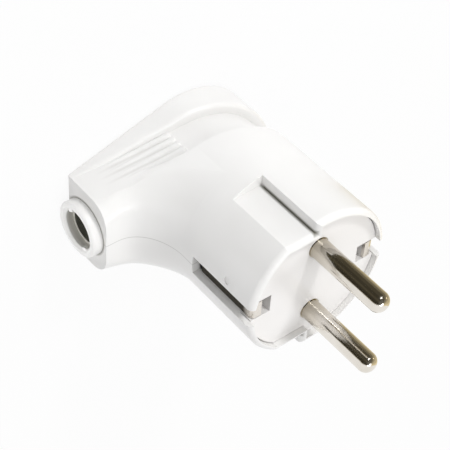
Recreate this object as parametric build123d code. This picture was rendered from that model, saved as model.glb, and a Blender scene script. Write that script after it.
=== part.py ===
from build123d import *
from math import acos, atan2, cos, hypot, radians, sin, sqrt, tan
import os

os.makedirs("parts", exist_ok=True)

# Frame: flat back on Z = 0, contact pins along +Z, cord entry toward -X, split plane Y = 0.

# Round body
bodyRadius = 18.8
rimHeight = 49.0
rimRound = 1.4
shellWall = 2.0
bodyFoot = 5.0

# Guide notches beside the pins
notchFloor = 15.8
notchWallX = -2.5
notchLength = 18.0

# Grip plate, waist and neck
gripRadius = 18.8
gripWaist = 2.5
neckReach = 30.7
neckHalfWidth = 10.0
neckTop = 14.7
neckEdgeRound = 5.4
neckBlendX = 27.5
neckBlendTop = 27.0
blendSteps = 6
blendSink = 0.05
blendBury = 1.5
rootX = -11.0
backRound = 0.8
waistTilt = 9.0
waistLow = 7.1
waistBand = 8.7
gripPrism = 12.0
flangeRound = 0.9
endBevel = 0.6

# Small round mark on the side
dimpleRadius = 0.9
dimpleDeep = 0.35
dimpleDrop = 8.7
dimpleTurn = 167.0

# Finger ribs in the waist, thin at the neck end and blunt toward the round end
ribCount = 4
ribRadius = 1.1
ribThin = 0.62
ribProud = 0.5
ribStart = 6.0
ribEnd = 22.5
ribStep = 0.9
ribLow = 0.6
ribPitch = 1.9

# Contact pins
pinSpacing = 19.0
pinRadius = 2.4
pinReach = 19.0
pinTipRound = 2.1
seatRadius = 2.6
shankRadius = 2.9
shankSetback = 0.7
terminalWide = 7.0
terminalDeep = 6.5
terminalTall = 9.0
terminalRound = 0.6
wireHoleRadius = 1.5
wireHoleDeep = 7.0

# Pin carrier
faceRecess = 1.5
carrierRadius = 17.3
plateThick = 3.4
carrierGroove = 1.3
grooveRadius = 15.8
footThick = 1.7
footRadius = 16.6
rimWall = 1.4
fitGap = 0.1
faceGap = 0.18
barrierY = 3.6
barrierThick = 1.2
barrierHalf = 10.0
barrierFoot = 32.5

# Earth strap
strapWide = 4.4
strapThick = 0.8
strapFaceX = 16.9
strapLap = 2.5
strapFoot = 30.0
strapBend = 1.3
strapHeel = 0.8
sideSlotGap = 0.25
sideSlotFoot = 29.5
faceSlotLong = 2.4
washerRadius = 3.4
washerTall = 0.8
nutRadius = 3.1
nutTall = 2.4

# Cord entry bush
cordHeight = 6.9
bushRing = 6.7
bushProud = 2.5
bushNeck = 5.5
bushCollar = 6.3
bushCollarThick = 1.5
bushBore = 4.1
bushMouth = 4.7
bushLip = 5.3
bushLipDeep = 0.6
bushMouthDeep = 2.4
bushTabWide = 1.6
bushTabLong = 0.9
bushTabTurn = 147.0
endWall = 3.4

# Cord clamp
saddleX = -17.5
saddleLong = 6.0
saddleWide = 17.0
saddleRise = 2.9
cordRadius = 3.6
barThick = 2.4
barLong = 5.0
clampScrewY = 6.4

# Screws and inserts
threadRadius = 1.5
headRadius = 2.7
headTall = 1.8
driveWide = 0.8
driveDeep = 0.9
bossRadius = 3.4
insertRadius = 2.2
insertLong = 5.0
insertInset = 0.6
screwSpare = 0.4
headSeat = 7.0
shellScrewAt = [(10.2, 9.0), (-4.0, 20.0), (11.6, 23.0)]

# Cavity
floorThick = 2.2
neckCavityTop = 11.7
neckCavityHalf = 8.0

pinBase = rimHeight - faceRecess
plateFoot = pinBase - plateThick
grooveFoot = plateFoot - carrierGroove
carrierFoot = grooveFoot - footThick
waistSlope = tan(radians(waistTilt))
pinY = pinSpacing / 2
innerNotch = notchFloor - rimWall
saddleTop = cordHeight + saddleRise
clampTop = saddleTop + barThick + headTall
wholeSpan = 2 * (neckReach + gripRadius + pinReach)


def gripTangent(radius):
    """Where the straight taper from the neck corner touches the round end."""
    reach = hypot(neckReach, neckHalfWidth)
    turn = atan2(neckHalfWidth, -neckReach) - acos(radius / reach)
    return radius * cos(turn), radius * sin(turn)


def teardrop(radius):
    touch = gripTangent(radius)
    low = (touch[0], -touch[1])
    return make_face(Wire([
        Line((-neckReach, -neckHalfWidth), (-neckReach, neckHalfWidth)),
        Line((-neckReach, neckHalfWidth), touch),
        ThreePointArc(touch, (radius, 0), low),
        Line(low, (-neckReach, -neckHalfWidth)),
    ]))


def block(x0, x1, y0, y1, z0, z1):
    return Pos((x0 + x1) / 2, (y0 + y1) / 2, (z0 + z1) / 2) * Box(x1 - x0, y1 - y0, z1 - z0)


def rodZ(radius, z0, z1, x=0.0, y=0.0):
    return Pos(x, y, (z0 + z1) / 2) * Cylinder(radius, z1 - z0)


def rodX(radius, x0, x1, y=0.0, z=0.0):
    return Pos((x0 + x1) / 2, y, z) * Rot(0, 90, 0) * Cylinder(radius, x1 - x0)


def rodY(radius, y0, y1, x=0.0, z=0.0):
    return Pos(x, (y0 + y1) / 2, z) * Rot(90, 0, 0) * Cylinder(radius, y1 - y0)


def tiltedSlab(height, thick):
    """Slab whose lower face crosses X = 0 at the height and climbs toward +X."""
    lean = Plane(origin=(0, 0, height), x_dir=(1, 0, waistSlope), z_dir=(-waistSlope, 0, 1))
    return lean * Pos(0, 0, thick / 2) * Box(wholeSpan, wholeSpan, thick)


def both(solid):
    return solid + mirror(solid, about=Plane.XZ)


def notchTool(floor, wallX, foot):
    """Clears the space beyond the notch floor on the cord side of the notch wall."""
    return both(block(-30, wallX, floor, 30, foot, rimHeight + 5))


def neckHalf(x):
    """Half width of the neck, which tapers out until it runs into the round body."""
    touch = gripTangent(bodyRadius - 2 * blendSink)
    return neckHalfWidth + (touch[1] - neckHalfWidth) * (x + neckReach) / (touch[0] + neckReach)


def neckLineX(share, reach):
    """X at which a line along a share of the half width comes this near to the body axis."""
    start = share * neckHalf(0)
    slope = share * neckHalf(1) - start
    square = 1 + slope ** 2
    return (-start * slope - sqrt(max(0.0, square * reach ** 2 - start ** 2))) / square


def neckSpot(x, share, rise):
    """Point on the front of the neck, flat at no rise and upright against the body at 90 degrees."""
    half = neckHalf(x)
    into = max(0.0, neckEdgeRound - half * (1 - abs(share)))
    low = neckTop - neckEdgeRound + sqrt(max(0.0, neckEdgeRound ** 2 - into ** 2))
    flat = cos(radians(rise))
    return x, share * half, low * flat + neckBlendTop * (1 - flat)


def neckProfile(share):
    """Upright outline along one share of the half width, from the end face into the body."""
    blendX = neckLineX(share, neckBlendX)
    front = [neckSpot(x, share, 0) for x in (-neckReach, (blendX - neckReach) / 2)]
    for step in range(blendSteps + 1):
        rise = 90 * step / blendSteps
        reach = neckBlendX - (neckBlendX - bodyRadius + blendSink) * sin(radians(rise))
        front.append(neckSpot(neckLineX(share, reach), share, rise))
    last = front[-1]
    buriedX = last[0] + blendBury
    buriedY = share * neckHalf(buriedX)
    foot = backRound + 0.2
    ahead = (1, share * (neckHalf(1) - neckHalf(0)), 0)
    return make_face(Wire([
        Spline(*front, tangents=[ahead, (0, 0, 1)]),
        Line(last, (buriedX, buriedY, last[2])),
        Line((buriedX, buriedY, last[2]), (buriedX, buriedY, foot)),
        Line((buriedX, buriedY, foot), (-neckReach, share * neckHalfWidth, foot)),
        Line((-neckReach, share * neckHalfWidth, foot), front[0]),
    ]))


def makeNeck():
    half = (0.25, 0.5, 0.68, 0.8, 0.9, 0.97, 1)
    shares = [-share for share in reversed(half)] + [0, *half]
    return loft([neckProfile(share) for share in shares])


def makeRibs():
    """Tapered bars along the waist wall, sunk until only the crowns stand proud."""
    touch = gripTangent(gripRadius - gripWaist)
    corner = Vector(-neckReach, neckHalfWidth, 0)
    run = (Vector(touch[0], touch[1], 0) - corner).normalized()
    out = Vector(-run.Y, run.X, 0)
    along = (run + Vector(0, 0, waistSlope * run.X)).normalized()
    ribs = []
    for i in range(ribCount):
        near = corner + run * (ribStart + i * ribStep) + out * (ribProud - ribRadius)
        near = Vector(near.X, near.Y, waistLow + ribLow + i * ribPitch + waistSlope * near.X)
        length = ribEnd - ribStart - i * ribStep
        bar = Plane(origin=near, z_dir=along) * Pos(0, 0, length / 2) * Cone(ribThin, ribRadius, length)
        ribs.append(bar + Pos(*(near + along * length)) * Sphere(ribRadius))
    return ribs


def makeFlange():
    """Grip plate behind the waist, rounded at the back and along its slanted front."""
    plate = extrude(teardrop(gripRadius), amount=gripPrism) - tiltedSlab(waistLow, wholeSpan)
    plate = fillet([e for e in plate.edges() if e.center().Z < 0.01], backRound)
    front = [e for e in plate.faces().sort_by(Axis.Z)[-1].edges() if e.center().X > -neckReach + 0.5]
    return fillet(front, flangeRound)


def endTrim():
    """What a bevel round the end face of the neck takes off."""
    wide = 2 * (neckHalfWidth - endBevel)
    tall = neckTop - 2 * endBevel
    plane = Plane(origin=(-neckReach, 0, neckTop / 2), x_dir=(0, 1, 0), z_dir=(1, 0, 0))
    outline = Rectangle(wide, tall)
    outline = fillet(outline.vertices().group_by(Axis.Y)[-1], neckEdgeRound - endBevel)
    kept = extrude(plane * outline, amount=endBevel + 1, taper=-45)
    return block(-neckReach - 1, -neckReach + endBevel, -gripRadius, gripRadius, -1, neckBlendTop) - kept


def makeOuter():
    body = rodZ(bodyRadius, bodyFoot, rimHeight)
    body = body - notchTool(notchFloor, notchWallX, rimHeight - notchLength)
    body = fillet(body.edges().group_by(Axis.Z)[-1], rimRound)
    root = extrude(teardrop(gripRadius), amount=gripPrism)
    root = root & block(rootX, wholeSpan, -wholeSpan, wholeSpan, -1, gripPrism + 1)
    solid = makeNeck() + root + body
    band = extrude(teardrop(gripRadius + 2 * gripWaist) - teardrop(gripRadius - gripWaist), amount=wholeSpan)
    solid = solid - (band & tiltedSlab(waistLow - gripPrism, gripPrism + waistBand))
    solid = (solid & tiltedSlab(waistLow - 1, wholeSpan)) + makeFlange() - endTrim()
    for rib in makeRibs():
        solid = solid + both(rib)
    return solid


def makeCavity():
    """Room inside the shell: carrier seat, body hollow, grip hollow and neck hollow."""
    gap = fitGap
    seat = rodZ(carrierRadius + faceGap, plateFoot, rimHeight + 5)
    throat = rodZ(grooveRadius + gap, grooveFoot, plateFoot)
    hollow = rodZ(footRadius + gap, sideSlotFoot - 8, grooveFoot)
    room = seat + throat + hollow
    room = room - notchTool(innerNotch + gap, notchWallX + rimWall - gap, rimHeight - notchLength - rimWall)
    low = gripRadius - gripWaist - shellWall
    room = room + rodZ(low, floorThick, sideSlotFoot - 7)
    tunnel = block(-neckReach + endWall, -6, -neckCavityHalf, neckCavityHalf, floorThick, neckCavityTop)
    half = clampScrewY + headRadius + 0.3
    reach = saddleLong / 2 + fitGap
    above = block(saddleX - reach, saddleX + reach, -half, half, saddleTop - 1, clampTop + 0.3)
    return room + tunnel + above


def makeBosses():
    """Screw posts across the shell, one solid per place, trimmed to the outer form later."""
    return [rodY(bossRadius, -gripRadius, gripRadius, x, z) for x, z in shellScrewAt]


def bushCut():
    face = -neckReach
    hole = rodX(bushNeck + fitGap, face - 5, face + endWall + 1, z=cordHeight)
    inside = face + endWall
    pocket = rodX(bushCollar + fitGap, inside - 0.01, inside + bushCollarThick + 0.4, z=cordHeight)
    return hole + pocket


def sideSlots():
    half = strapWide / 2 + sideSlotGap
    inner = strapFaceX - strapThick - fitGap
    right = block(inner, 30, -half, half, sideSlotFoot, rimHeight + 5)
    return right + mirror(right, about=Plane.YZ)


def makeShellPair(outer):
    solid = outer - makeCavity()
    for post in makeBosses():
        solid = solid + (post & outer)
    solid = solid - bushCut() - sideSlots()
    floorSeat = block(
        saddleX - saddleLong / 2 - fitGap, saddleX + saddleLong / 2 + fitGap,
        -saddleWide / 2 - fitGap, saddleWide / 2 + fitGap, floorThick, neckCavityTop,
    )
    solid = solid - floorSeat
    upper = solid & block(-wholeSpan, wholeSpan, 0, wholeSpan, -1, wholeSpan)
    lower = mirror(upper, about=Plane.XZ)
    for x, z in shellScrewAt:
        upper = upper - rodY(insertRadius, -1, insertInset + insertLong, x, z)
        upper = upper - rodY(threadRadius + fitGap, -1, insertInset + insertLong + 2, x, z)
        lower = lower - rodY(threadRadius + 0.2, -wholeSpan, 1, x, z)
        lower = lower - rodY(headRadius + 0.3, -wholeSpan, -headSeat, x, z)
    dimple = rodX(dimpleRadius, bodyRadius - dimpleDeep, bodyRadius + 1, z=rimHeight - dimpleDrop)
    return upper - Rot(0, 0, dimpleTurn) * dimple, lower


def carrierPlan(radius, low, high):
    plan = rodZ(radius, low, high)
    return plan - notchTool(innerNotch, notchWallX + rimWall, low - 1)


def makeCarrier():
    plate = carrierPlan(carrierRadius, plateFoot, pinBase)
    waist = carrierPlan(grooveRadius, grooveFoot, plateFoot)
    foot = carrierPlan(footRadius, carrierFoot, grooveFoot)
    solid = plate + waist + foot
    for y in (-pinY, pinY):
        solid = solid - rodZ(seatRadius + 0.05, carrierFoot - 1, rimHeight + 5, y=y)
        solid = solid - rodZ(shankRadius + 0.05, carrierFoot - 1, pinBase - shankSetback, y=y)
    outerY = barrierY + barrierThick
    solid = solid + both(block(-barrierHalf, barrierHalf, barrierY, outerY, barrierFoot, carrierFoot))
    half = strapWide / 2 + sideSlotGap
    inner = strapFaceX - strapThick - fitGap
    lapEnd = strapFaceX - strapLap
    cut = block(inner, wholeSpan, -half, half, carrierFoot - 1, rimHeight)
    cut = cut + block(lapEnd - faceSlotLong, wholeSpan, -half, half, pinBase - strapThick, rimHeight)
    cut = cut + block(lapEnd - faceSlotLong, lapEnd, -half, half, carrierFoot - 1, rimHeight)
    return solid - cut - mirror(cut, about=Plane.YZ)


def makePin(sign):
    """Solid pin with a wider shank in the carrier and a square terminal behind it."""
    tip = rimHeight + pinReach
    shaft = rodZ(pinRadius, pinBase, tip)
    crown = [e for e in shaft.edges() if e.center().Z > tip - 0.01]
    shaft = fillet(crown, pinTipRound)
    seat = rodZ(seatRadius, pinBase - shankSetback, pinBase)
    shank = rodZ(shankRadius, carrierFoot, pinBase - shankSetback)
    terminal = block(
        -terminalWide / 2, terminalWide / 2, -terminalDeep / 2, terminalDeep / 2,
        carrierFoot - terminalTall, carrierFoot,
    )
    terminal = fillet(terminal.edges().filter_by(Axis.Z), terminalRound)
    solid = shaft + seat + shank + terminal
    foot = carrierFoot - terminalTall
    solid = solid - rodZ(wireHoleRadius, foot - 1, foot + wireHoleDeep)
    solid = solid - rodX(threadRadius, -10, 0, z=foot + terminalTall / 2)
    return Pos(0, sign * pinY, 0) * solid


def makeScrew(length):
    """Slotted screw along +Z, shank up from the origin, head below it."""
    head = rodZ(headRadius, -headTall, 0)
    rim = [e for e in head.edges() if e.center().Z < -headTall + 0.01]
    head = chamfer(rim, 0.4)
    wide = headRadius + 1
    slot = block(-wide, wide, -driveWide / 2, driveWide / 2, -headTall - 1, -headTall + driveDeep)
    shank = rodZ(threadRadius, 0, length)
    end = [e for e in shank.edges() if e.center().Z > length - 0.01]
    shank = chamfer(end, 0.3)
    return head + shank - slot


def makeStrap():
    """One strip: base behind the carrier, two sides up the body, ends bent over the face."""
    half = strapWide / 2
    inner = pinBase - strapThick
    right = block(0, strapFaceX, -half, half, strapFoot, pinBase)
    right = fillet(right.edges().filter_by(Axis.Y).group_by(Axis.Z)[0].sort_by(Axis.X)[-1], strapHeel)
    right = fillet(right.edges().filter_by(Axis.Y).group_by(Axis.Z)[-1].sort_by(Axis.X)[-1], strapBend)
    right = right - block(-1, strapFaceX - strapThick, -half, half, strapFoot + strapThick, inner)
    right = right - block(-1, strapFaceX - strapLap, -half, half, inner - 1, pinBase + 1)
    strap = right + mirror(right, about=Plane.YZ)
    return strap - rodZ(threadRadius + 0.15, strapFoot - 1, strapFoot + 2)


def makeBush():
    face = -neckReach
    ring = rodX(bushRing, face - bushProud, face, z=cordHeight)
    lip = [e for e in ring.edges() if e.center().X < face - bushProud + 0.01]
    ring = fillet(lip, 0.7)
    sleeve = rodX(bushNeck, face, face + endWall, z=cordHeight)
    collar = rodX(bushCollar, face + endWall, face + endWall + bushCollarThick, z=cordHeight)
    solid = ring + sleeve + collar
    front = face - bushProud
    solid = solid - rodX(bushBore, front - 1, face + endWall + bushCollarThick + 1, z=cordHeight)
    solid = solid - rodX(bushMouth, front - 1, front + bushMouthDeep, z=cordHeight)
    lead = Rot(0, 90, 0) * Cone(bushLip, bushMouth, bushLipDeep)
    solid = solid - Pos(front + bushLipDeep / 2, 0, cordHeight) * lead
    start = front + bushLipDeep / 2
    tab = block(start, start + bushTabLong, bushBore + 0.15, bushLip, -bushTabWide / 2, bushTabWide / 2)
    for turn in (bushTabTurn, bushTabTurn + 180):
        solid = solid + Pos(0, 0, cordHeight) * Rot(turn, 0, 0) * tab
    return solid


def makeSaddle():
    half = saddleLong / 2
    wide = saddleWide / 2
    low = block(saddleX - half, saddleX + half, -wide, wide, floorThick, saddleTop)
    trough = rodX(cordRadius, -neckReach, 0, z=cordHeight)
    opening = block(-neckReach, 0, -cordRadius, cordRadius, cordHeight, saddleTop + 1)
    return low - trough - opening - both(rodZ(threadRadius, 0, saddleTop + 1, saddleX, clampScrewY))


def makeBar():
    start = saddleX - barLong / 2
    end = saddleX + barLong / 2
    bar = block(start, end, -saddleWide / 2, saddleWide / 2, saddleTop, saddleTop + barThick)
    press = rodX(cordRadius - 0.4, start, end, z=saddleTop + 1.4)
    bar = bar + (press & block(start, end, -cordRadius, cordRadius, cordHeight, saddleTop + 0.1))
    return bar - both(rodZ(threadRadius + 0.15, 0, clampTop, saddleX, clampScrewY))


def makeInsert(x, z):
    outside = rodY(insertRadius, insertInset, insertInset + insertLong, x, z)
    return outside - rodY(threadRadius, 0, insertInset + insertLong + 1, x, z)


parts = {}
outer = makeOuter()
parts["upper_shell"], parts["lower_shell"] = makeShellPair(outer)
parts["pin_carrier"] = makeCarrier()
parts["line_pin"] = makePin(1)
parts["neutral_pin"] = makePin(-1)

terminalZ = carrierFoot - terminalTall / 2
for name, side in (("line_terminal_screw", 1), ("neutral_terminal_screw", -1)):
    parts[name] = Pos(-terminalWide / 2, side * pinY, terminalZ) * Rot(0, 90, 0) * makeScrew(3.0)

parts["earth_strap"] = makeStrap()
washer = rodZ(washerRadius, strapFoot - washerTall, strapFoot)
parts["earth_washer"] = washer - rodZ(threadRadius + 0.15, strapFoot - washerTall - 1, strapFoot + 1)
earthScrew = makeScrew(washerTall + strapThick + nutTall + screwSpare * 2)
parts["earth_screw"] = Pos(0, 0, strapFoot - washerTall) * earthScrew
nut = extrude(RegularPolygon(nutRadius, 6), amount=nutTall) - rodZ(threadRadius, -1, nutTall + 1)
parts["earth_nut"] = Pos(0, 0, strapFoot + strapThick) * nut

parts["cable_bush"] = makeBush()
parts["cord_saddle"] = makeSaddle()
parts["cord_clamp_bar"] = makeBar()
for i, y in enumerate((clampScrewY, -clampScrewY)):
    screw = Rot(180, 0, 0) * makeScrew(barThick + 5.0)
    parts["clamp_screw_" + str(i + 1)] = Pos(saddleX, y, saddleTop + barThick) * screw

for i, (x, z) in enumerate(shellScrewAt):
    shellScrew = makeScrew(headSeat + insertInset + insertLong - screwSpare)
    parts["shell_insert_" + str(i + 1)] = makeInsert(x, z)
    parts["shell_screw_" + str(i + 1)] = Pos(x, -headSeat, z) * Rot(-90, 0, 0) * shellScrew

for name, solid in parts.items():
    print(name, len(solid.solids()), round(solid.volume, 1))
    export_step(solid, "parts/" + name + ".step")
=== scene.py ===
import math

import bpy
from mathutils import Matrix, Vector

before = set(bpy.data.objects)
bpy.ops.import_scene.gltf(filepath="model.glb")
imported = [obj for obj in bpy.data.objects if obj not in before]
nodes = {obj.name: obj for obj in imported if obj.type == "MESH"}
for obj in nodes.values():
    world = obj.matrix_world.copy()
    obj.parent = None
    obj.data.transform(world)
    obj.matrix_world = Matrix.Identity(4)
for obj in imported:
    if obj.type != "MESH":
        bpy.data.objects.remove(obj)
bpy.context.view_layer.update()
print("frame loaded,", len(nodes), "pieces")


# One socket of a shader, so that sums of masks read as plain Python
class Link:
    def __init__(self, finish, socket):
        self.finish = finish
        self.socket = socket

    def math(self, operation, *values):
        inputs = dict(enumerate(values))
        return self.finish.node("ShaderNodeMath", {"operation": operation}, inputs)

    def __add__(self, other):
        return self.math("ADD", self, other)

    def __radd__(self, other):
        return self.math("ADD", other, self)

    def __sub__(self, other):
        return self.math("SUBTRACT", self, other)

    def __rsub__(self, other):
        return self.math("SUBTRACT", other, self)

    def __mul__(self, other):
        return self.math("MULTIPLY", self, other)

    def __rmul__(self, other):
        return self.math("MULTIPLY", other, self)

    def __pow__(self, other):
        return self.math("POWER", self, other)

    def __rpow__(self, other):
        return self.math("POWER", other, self)

    def __abs__(self):
        return self.math("ABSOLUTE", self)

    def larger(self, other):
        return self.math("MAXIMUM", self, other)

    def above(self, low, high):  # 0 below low, 1 over high, straight between
        inputs = {0: self, 1: low, 2: high, 3: 0.0, 4: 1.0}
        return self.finish.node("ShaderNodeMapRange", {"clamp": True}, inputs)


# The shader of one material, or of the world
class Finish:
    def __init__(self, owner):
        owner.use_nodes = True
        self.owner = owner
        self.tree = owner.node_tree
        self.tree.nodes.clear()
        self.place = None

    def node(self, kind, settings=None, inputs=None, out=0):
        made = self.tree.nodes.new(kind)
        for name, value in (settings or {}).items():
            setattr(made, name, value)
        for name, value in (inputs or {}).items():
            if isinstance(value, Link):
                self.tree.links.new(value.socket, made.inputs[name])
            else:
                made.inputs[name].default_value = value
        return Link(self, made.outputs[out]) if len(made.outputs) else None

    def spot(self):  # where a point lies on its piece, in metres
        if self.place is None:
            self.place = self.node("ShaderNodeTexCoord", out="Object")
        return self.place

    def axis(self, i):
        return self.node("ShaderNodeSeparateXYZ", None, {0: self.spot()}, i)

    def noise(self, perMetre, detail, stretch=(1.0, 1.0, 1.0)):
        inputs = {0: self.spot(), 1: stretch}
        spot = self.node("ShaderNodeVectorMath", {"operation": "MULTIPLY"}, inputs)
        inputs = {"Vector": spot, "Scale": perMetre, "Detail": detail}
        return self.node("ShaderNodeTexNoise", None, inputs)

    def blend(self, share, first, second):
        settings = {"data_type": "RGBA", "blend_type": "MIX"}
        return self.node("ShaderNodeMix", settings, {0: share, 6: first, 7: second}, 2)

    def bump(self, height, strength, deep):
        inputs = {"Height": height, "Strength": strength, "Distance": deep}
        return self.node("ShaderNodeBump", None, inputs)

    def backdropSight(self):  # 1 where the camera, a mirror or glass looks straight at it
        rays = ("Is Camera Ray", "Is Glossy Ray", "Is Transmission Ray")
        camera, mirror, glass = [self.node("ShaderNodeLightPath", out=ray) for ray in rays]
        return (camera + mirror + glass).above(0.0, 1.0)

    def surface(self, inputs):
        shader = self.node("ShaderNodeBsdfPrincipled", None, inputs)
        self.node("ShaderNodeOutputMaterial", None, {0: shader})
        return self.owner


def newFinish(name):
    return Finish(bpy.data.materials.new(name))


def rgb(red, green, blue):
    return (red, green, blue, 1.0)


white = rgb(1.0, 1.0, 1.0)


# The camera stands in front of the grip side and above the pins, as near as in a product view
view = {
    "eye": (-0.1513, 0.2192, 0.1888),
    "right": (0.785, 0.058, 0.617),
    "up": (0.405, 0.706, -0.581),
    "back": (-0.469, 0.706, 0.530),
    "lensMm": 113.4,
    "sensorMm": 36.0,
    "nearest": 0.01,
    "farthest": 20.0,
}


def makeCamera():
    data = bpy.data.cameras.new("camera")
    data.sensor_width = view["sensorMm"]
    data.lens = view["lensMm"]
    data.clip_start = view["nearest"]
    data.clip_end = view["farthest"]
    camera = bpy.data.objects.new("camera", data)
    axes = Matrix((view["right"], view["up"], view["back"])).transposed().to_4x4()
    camera.matrix_world = Matrix.Translation(view["eye"]) @ axes
    bpy.context.scene.collection.objects.link(camera)
    bpy.context.scene.camera = camera


makeCamera()
bpy.context.scene.view_settings.view_transform = "Standard"
print("camera placed")


# White gloss plastic: slow flow clouds, a faint orange peel and fine scuffs that only dull it
plasticGrain = {
    "flowPerMetre": 60.0,
    "flowDetail": 2.0,
    "flowLow": 0.35,
    "flowHigh": 0.75,
    "flowDulls": 0.04,
    "peelPerMetre": 900.0,
    "peelDetail": 2.0,
    "peelStrength": 0.12,
    "peelDeep": 0.00006,
    "scuffPerMetre": 2600.0,
    "scuffDetail": 4.0,
    "scuffStretch": (1.0, 1.0, 0.25),
    "scuffLow": 0.62,
    "scuffHigh": 0.78,
    "scuffDulls": 0.08,
    "coatRoughness": 0.14,
    "ior": 1.5,
}


def plasticFinish(name, looks, shade=None):
    grain = plasticGrain
    finish = newFinish(name)
    flow = finish.noise(grain["flowPerMetre"], grain["flowDetail"])
    peel = finish.noise(grain["peelPerMetre"], grain["peelDetail"])
    scuff = finish.noise(grain["scuffPerMetre"], grain["scuffDetail"], grain["scuffStretch"])
    scuff = scuff.above(grain["scuffLow"], grain["scuffHigh"])
    clouds = flow.above(grain["flowLow"], grain["flowHigh"])
    colour = finish.blend(clouds, looks["colour"], looks["shadeColour"])
    height = peel
    if shade:
        colour, height = shade(finish, colour, height)
    return finish.surface({
        "Base Color": colour,
        "Roughness": looks["roughness"] + flow * grain["flowDulls"] + scuff * grain["scuffDulls"],
        "Coat Weight": looks["coat"],
        "Coat Roughness": grain["coatRoughness"],
        "IOR": grain["ior"],
        "Normal": finish.bump(height, grain["peelStrength"], grain["peelDeep"]),
    })


moulding = {
    "colour": rgb(0.86, 0.855, 0.845),
    "shadeColour": rgb(0.82, 0.812, 0.80),
    "roughness": 0.27,
    "coat": 0.22,
}
carrierMoulding = {
    "colour": rgb(0.815, 0.80, 0.79),
    "shadeColour": rgb(0.78, 0.765, 0.75),
    "roughness": 0.30,
    "coat": 0.18,
}
innerMoulding = {
    "colour": rgb(0.74, 0.735, 0.715),
    "shadeColour": rgb(0.69, 0.685, 0.665),
    "roughness": 0.42,
    "coat": 0.0,
}
cordHeight = 0.0069


def fromCord(finish):  # how far a point lies from the cord's axis
    return (finish.axis(1) ** 2.0 + (finish.axis(2) - cordHeight) ** 2.0) ** 0.5


# Dark lines on the shell: a dark hairline where its halves meet, and painted shade in the corner of
# the side slots, round the bush and in the gaps between the finger ribs, which run along the tilted
# waist
shellLines = {
    "seamColour": rgb(0.30, 0.29, 0.27),
    "seamInner": 0.000045,
    "seamOuter": 0.000144,
    "seamShare": 0.45,
    "seamDeep": 3.0,
    "creviceShadeColour": rgb(0.17, 0.165, 0.135),
    "cornerX": -0.0025,
    "cornerY": 0.0158,
    "cornerNear": 0.0001,
    "cornerFar": 0.0008,
    "cornerLow": 0.0305,
    "cornerHigh": 0.032,
    "ringNear": 0.0067,
    "ringFar": 0.0073,
    "endFaceOuter": -0.0306,
    "endFaceInner": -0.0305,
    "ribShadeColour": rgb(0.74, 0.73, 0.715),
    "ribSlope": 0.1584,
    "ribFirst": 0.00865,
    "ribPitch": 0.0019,
    "ribGaps": 3,
    "ribNear": 0.0001,
    "ribFar": 0.0005,
    "ribStart": -0.0265,
    "ribEnd": -0.0125,
    "ribFade": 0.005,
    "ribSharp": 0.0001,
}


def ribGap(finish, lines):  # 1 in the gaps between the ribs
    along = finish.axis(0)
    level = finish.axis(2) - along * lines["ribSlope"] - lines["ribFirst"]
    half = lines["ribPitch"] / 2
    gap = 1.0 - level.math("PINGPONG", level, half).above(lines["ribNear"], lines["ribFar"])
    top = (lines["ribGaps"] - 1) * lines["ribPitch"] + half
    sharp = lines["ribSharp"]
    inRows = level.above(-half, -half + sharp) * (1.0 - level.above(top - sharp, top))
    start = along.above(lines["ribStart"], lines["ribStart"] + lines["ribFade"])
    end = 1.0 - along.above(lines["ribEnd"], lines["ribEnd"] + lines["ribFade"])
    return gap * inRows * start * end


def shadeShell(finish, colour, height):
    lines = shellLines
    across = abs(finish.axis(1))
    hairline = 1.0 - across.above(lines["seamInner"], lines["seamOuter"])
    colour = finish.blend(hairline * lines["seamShare"], colour, lines["seamColour"])
    height = height - hairline * lines["seamDeep"]
    # painted shade: a dark line in the corner of each side slot, where the wall meets the floor
    fromCorner = abs(finish.axis(0) - lines["cornerX"]).larger(abs(across - lines["cornerY"]))
    corner = 1.0 - fromCorner.above(lines["cornerNear"], lines["cornerFar"])
    inSlot = finish.axis(2).above(lines["cornerLow"], lines["cornerHigh"])
    colour = finish.blend(corner * inSlot, colour, lines["creviceShadeColour"])
    # painted shade: a dark ring on the end face round the bush
    roundBush = 1.0 - fromCord(finish).above(lines["ringNear"], lines["ringFar"])
    endFace = 1.0 - finish.axis(0).above(lines["endFaceOuter"], lines["endFaceInner"])
    colour = finish.blend(roundBush * endFace, colour, lines["creviceShadeColour"])
    # painted shade in the gaps between the finger ribs
    return finish.blend(ribGap(finish, lines), colour, lines["ribShadeColour"]), height


# Painted shade in the bush: a grey shade in its mouth, and a dark shade on the bore behind it,
# which lies in the dark of the housing
bushShades = {
    "mouthShadeColour": rgb(0.60, 0.585, 0.54),
    "mouthNear": 0.0049,
    "mouthFar": 0.0052,
    "mouthStart": -0.0329,
    "mouthEnd": -0.0318,
    "throatShadeColour": rgb(0.15, 0.145, 0.12),
    "throatStart": -0.03078,
    "throatEnd": -0.03068,
}


def shadeBush(finish, colour, height):
    shades = bushShades
    # painted shade inside the mouth
    inMouth = 1.0 - fromCord(finish).above(shades["mouthNear"], shades["mouthFar"])
    inMouth = inMouth * finish.axis(0).above(shades["mouthStart"], shades["mouthEnd"])
    colour = finish.blend(inMouth, colour, shades["mouthShadeColour"])
    # painted shade: the bore behind the mouth made dark
    deep = finish.axis(0).above(shades["throatStart"], shades["throatEnd"])
    return finish.blend(deep, colour, shades["throatShadeColour"]), height


# Metal: slow clouds in its colour and fine brushing along the pins
metalGrain = {
    "cloudPerMetre": 220.0,
    "cloudDetail": 4.0,
    "cloudLow": 0.3,
    "cloudHigh": 0.8,
    "cloudDulls": 0.03,
    "brushPerMetre": 3000.0,
    "brushDetail": 3.0,
    "brushStretch": (1.0, 1.0, 0.06),
    "brushDulls": 0.06,
    "brushStrength": 0.08,
    "brushDeep": 0.00003,
}


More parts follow.
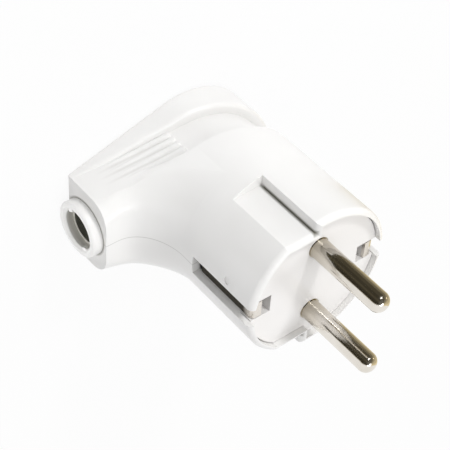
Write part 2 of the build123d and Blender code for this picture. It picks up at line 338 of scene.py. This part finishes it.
def metalFinish(name, looks):
    grain = metalGrain
    finish = newFinish(name)
    cloud = finish.noise(grain["cloudPerMetre"], grain["cloudDetail"])
    brush = finish.noise(grain["brushPerMetre"], grain["brushDetail"], grain["brushStretch"])
    clouds = cloud.above(grain["cloudLow"], grain["cloudHigh"])
    colour = finish.blend(clouds, looks["colour"], looks["darkColour"])
    if "paintedShadeColour" in looks:  # painted shade low down: darker towards the base of the pins and on the strap below its bend
        height = finish.axis(2) + cloud * looks["shadeWander"]
        unshaded = height.above(looks["shadeBelow"], looks["brightAbove"])
        colour = finish.blend(unshaded, looks["paintedShadeColour"], colour)
    return finish.surface({
        "Base Color": colour,
        "Metallic": 1.0,
        "Roughness": looks["roughness"] + brush * grain["brushDulls"] + cloud * grain["cloudDulls"],
        "Normal": finish.bump(brush, grain["brushStrength"], grain["brushDeep"]),
    })


pinPlating = {
    "colour": rgb(0.82, 0.785, 0.73),
    "darkColour": rgb(0.70, 0.66, 0.59),
    "roughness": 0.09,
    # painted shade at the base of the pins
    "paintedShadeColour": rgb(0.45, 0.405, 0.325),
    "shadeBelow": 0.0474,
    "brightAbove": 0.0535,
    "shadeWander": 0.0008,
}
stripPlating = {
    "colour": rgb(0.80, 0.76, 0.71),
    "darkColour": rgb(0.72, 0.68, 0.62),
    "roughness": 0.20,
    # painted shade on the strap inside its slot, below the bend
    "paintedShadeColour": rgb(0.075, 0.065, 0.045),
    "shadeBelow": 0.0449,
    "brightAbove": 0.0459,
    "shadeWander": 0.0006,
}
screwMetal = {
    "colour": rgb(0.60, 0.60, 0.58),
    "darkColour": rgb(0.46, 0.45, 0.43),
    "roughness": 0.26,
}
brass = {
    "colour": rgb(0.70, 0.53, 0.27),
    "darkColour": rgb(0.55, 0.40, 0.19),
    "roughness": 0.24,
}


def dress(name, material):
    mesh = nodes[name].data
    mesh.materials.clear()
    mesh.materials.append(material)


carrier = plasticFinish("carrierMoulding", carrierMoulding)
shell = plasticFinish("shellMoulding", moulding, shadeShell)
bushing = plasticFinish("bushMoulding", moulding, shadeBush)
inner = plasticFinish("innerMoulding", innerMoulding)
nickel = metalFinish("nickelPlate", pinPlating)
strip = metalFinish("stripPlate", stripPlating)
zinc = metalFinish("zincPlate", screwMetal)
yellow = metalFinish("plainBrass", brass)
for name in nodes:
    if "shell_insert" in name or name == "earth_nut":
        dress(name, yellow)
    elif "screw" in name or name == "earth_washer":
        dress(name, zinc)
    elif name in ("line_pin", "neutral_pin"):
        dress(name, nickel)
    elif name == "earth_strap":
        dress(name, strip)
    elif name in ("upper_shell", "lower_shell"):
        dress(name, shell)
    elif name == "cable_bush":
        dress(name, bushing)
    elif name in ("cord_saddle", "cord_clamp_bar"):
        dress(name, inner)
    else:
        dress(name, carrier)
print("finishes set")


def makeStagePiece(name, spots, faces, finish):
    mesh = bpy.data.meshes.new(name)
    mesh.from_pydata(spots, [], faces)
    mesh.materials.append(finish.owner)
    piece = bpy.data.objects.new(name, mesh)
    bpy.context.scene.collection.objects.link(piece)
    return piece


floor = {
    "half": 3.0,
    "below": -0.0002,
    "colour": rgb(0.75, 0.75, 0.75),
    "whiteShare": 0.93,  # the rest keeps the object's shadow
}


def makeFloor():
    half = floor["half"]
    corners = [(-half, -half, 0), (half, -half, 0), (half, half, 0), (-half, half, 0)]
    finish = newFinish("paleFloor")
    seen = finish.backdropSight() * floor["whiteShare"]
    plain = finish.node("ShaderNodeBsdfDiffuse", None, {"Color": floor["colour"]})
    glow = finish.node("ShaderNodeEmission", None, {"Color": white, "Strength": 1.0})
    mixed = finish.node("ShaderNodeMixShader", None, {0: seen, 1: plain, 2: glow})
    finish.node("ShaderNodeOutputMaterial", None, {0: mixed})
    piece = makeStagePiece("floor", corners, [(0, 1, 2, 3)], finish)
    piece.location.z = floor["below"]


# Brown and black glowing sheets that only mirror rays see: painted reflections on the bright metal,
# in place of a photographer's cards.
# Each sector lies on the floor, stands up at its outer edge and leans in over the object.
reflectionCards = {
    "warm": (1.0, 0.86, 0.56),
    "inner": 0.072,
    "outer": 0.19,
    "height": 0.20,
    "roofReach": 0.05,
    "roofHeight": 0.30,
    "lift": 0.001,
    "stepDegrees": 4.0,
    "sectors": [  # from, to, tone
        (-46.0, -30.0, 0.85),
        (-30.0, 0.0, 0.60),
        (0.0, 25.0, 0.36),
        (25.0, 50.0, 0.17),
        (50.0, 85.0, 0.075),
        (85.0, 112.0, 0.052),
        (112.0, 130.0, 0.078),
        (130.0, 148.0, 0.045),
        (148.0, 161.0, 0.025),
        (161.0, 168.0, 0.22),
    ],
    # glint: a small bright glowing patch, a painted highlight on the pin tips
    "glint": {"from": 15.0, "to": 25.0, "tone": 2.2, "reach": 0.186, "low": 0.140, "high": 0.172},
}


def makeCard(name, start, end, tone, profile):
    count = max(1, round((end - start) / reflectionCards["stepDegrees"]))
    rows = len(profile)
    spots = []
    for i in range(count + 1):
        turn = math.radians(start + (end - start) * i / count)
        for reach, height in profile:
            spots.append((reach * math.cos(turn), reach * math.sin(turn), reflectionCards["lift"] + height))
    faces = []
    for i in range(count):
        for j in range(rows - 1):
            spot = rows * i + j
            faces.append((spot, spot + 1, spot + rows + 1, spot + rows))
    finish = newFinish(name + "Finish")
    colour = rgb(*(tone * share for share in reflectionCards["warm"]))
    # each sheet glows in its tone: a painted reflection
    glow = finish.node("ShaderNodeEmission", None, {"Color": colour, "Strength": 1.0})
    finish.node("ShaderNodeOutputMaterial", None, {0: glow})
    card = makeStagePiece(name, spots, faces, finish)
    card.visible_camera = False
    card.visible_diffuse = False
    card.visible_transmission = False
    card.visible_shadow = False


def makeCards():
    standing = [
        (reflectionCards["inner"], 0.0),
        (reflectionCards["outer"], 0.0),
        (reflectionCards["outer"], reflectionCards["height"]),
        (reflectionCards["roofReach"], reflectionCards["roofHeight"]),
    ]
    for i, (start, end, tone) in enumerate(reflectionCards["sectors"]):
        makeCard("card" + str(i + 1), start, end, tone, standing)
    glint = reflectionCards["glint"]
    small = [(glint["reach"], glint["low"]), (glint["reach"], glint["high"])]
    makeCard("paintedGlintCard", glint["from"], glint["to"], glint["tone"], small)


# Watts, metres, and the spread in degrees; a lamp that isn't mirrored leaves no highlight
studio = {
    "room": 0.42,
    "aim": (0.0, 0.0, 0.03),
    "spread": 180.0,
    "lamps": {
        "topLamp": {"at": (0.12, 0.62, 0.32), "size": 0.11, "watts": 1.8},
        "frontLamp": {"at": (-0.05, 0.20, 0.75), "size": 0.70, "watts": 2.7},
        "rightLamp": {"at": (0.50, 0.25, 0.35), "size": 0.40, "watts": 0.7},
        "backLamp": {
            "at": (0.15, -0.55, 0.35), "size": 0.50, "watts": 0.75,
            "mirrored": False,
        },
        "leftLamp": {
            "at": (-0.44, -0.34, 0.08), "size": 0.26, "watts": 0.34,
            "mirrored": False,
        },
        "endLamp": {  # a narrow beam on the ring of the bush
            "at": (-0.40, 0.0, cordHeight), "size": 0.014, "watts": 0.00014,
            "mirrored": False, "aim": (0.0, 0.0, cordHeight), "spread": 1.0,
        },
    },
}


def makeLamp(name, lamp):
    data = bpy.data.lights.new(name, "AREA")
    data.shape = "DISK"
    data.size = lamp["size"]
    data.energy = lamp["watts"]
    data.spread = math.radians(lamp.get("spread", studio["spread"]))
    made = bpy.data.objects.new(name, data)
    made.location = lamp["at"]
    made.visible_glossy = lamp.get("mirrored", True)
    aim = Vector(lamp.get("aim", studio["aim"])) - Vector(lamp["at"])
    made.rotation_euler = aim.to_track_quat("-Z", "Y").to_euler()
    bpy.context.scene.collection.objects.link(made)


def makeRoom():
    room = Finish(bpy.data.worlds.new("room"))
    light = room.node("ShaderNodeBackground", None, {"Color": white, "Strength": studio["room"]})
    back = room.node("ShaderNodeBackground", None, {"Color": white, "Strength": 1.0})
    mixed = room.node("ShaderNodeMixShader", None, {0: room.backdropSight(), 1: light, 2: back})
    room.node("ShaderNodeOutputWorld", None, {0: mixed})
    bpy.context.scene.world = room.owner


makeFloor()
makeCards()
for name, lamp in studio["lamps"].items():
    makeLamp(name, lamp)
makeRoom()
print("studio lit")
